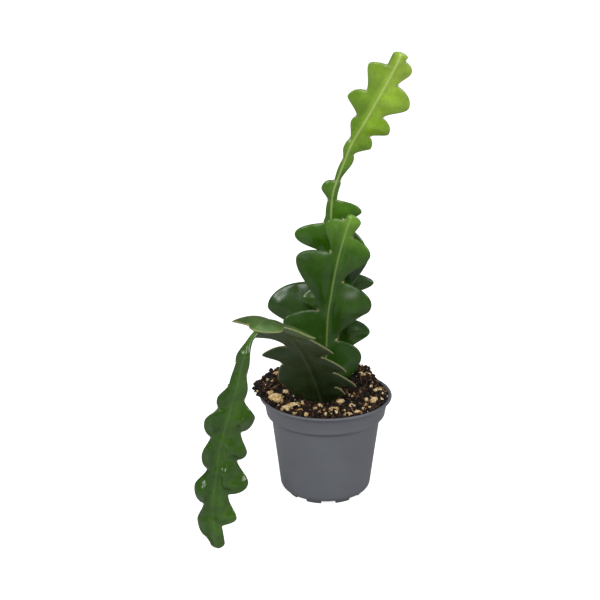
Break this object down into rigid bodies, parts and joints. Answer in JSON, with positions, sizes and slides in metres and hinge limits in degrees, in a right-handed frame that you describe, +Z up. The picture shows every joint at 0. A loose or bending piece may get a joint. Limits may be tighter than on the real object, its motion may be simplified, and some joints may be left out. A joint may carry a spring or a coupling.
{
  "type": "potted fishbone cactus",
  "caption": "Potted cactus with flat, deeply lobed zigzag stems, one of them arching out with a hanging branch, in a round tapered nursery pot.",
  "frame": {"origin": "on the pot's axis, in the flat middle of the underside that the pot stands on", "axes": "+Z up along the pot's axis; -Y is the front that the picture shows, +X its right"},
  "size_m": [0.1382, 0.1653, 0.3085],
  "materials": {
    "pot": "satin grey moulded polypropylene",
    "soil": "damp peat crumbs with pumice and bark bits",
    "stems": "waxy green skin, dark green when old",
    "tall_stem": "waxy green skin, light yellow-green at the new top"
  },
  "bodies": {
    "root": {"pot": "pot", "soil": "soil", "front_stem": "stems", "tall_stem": "tall_stem", "back_stem": "stems", "arching_stem": "stems"}
  },
  "joints": []
}
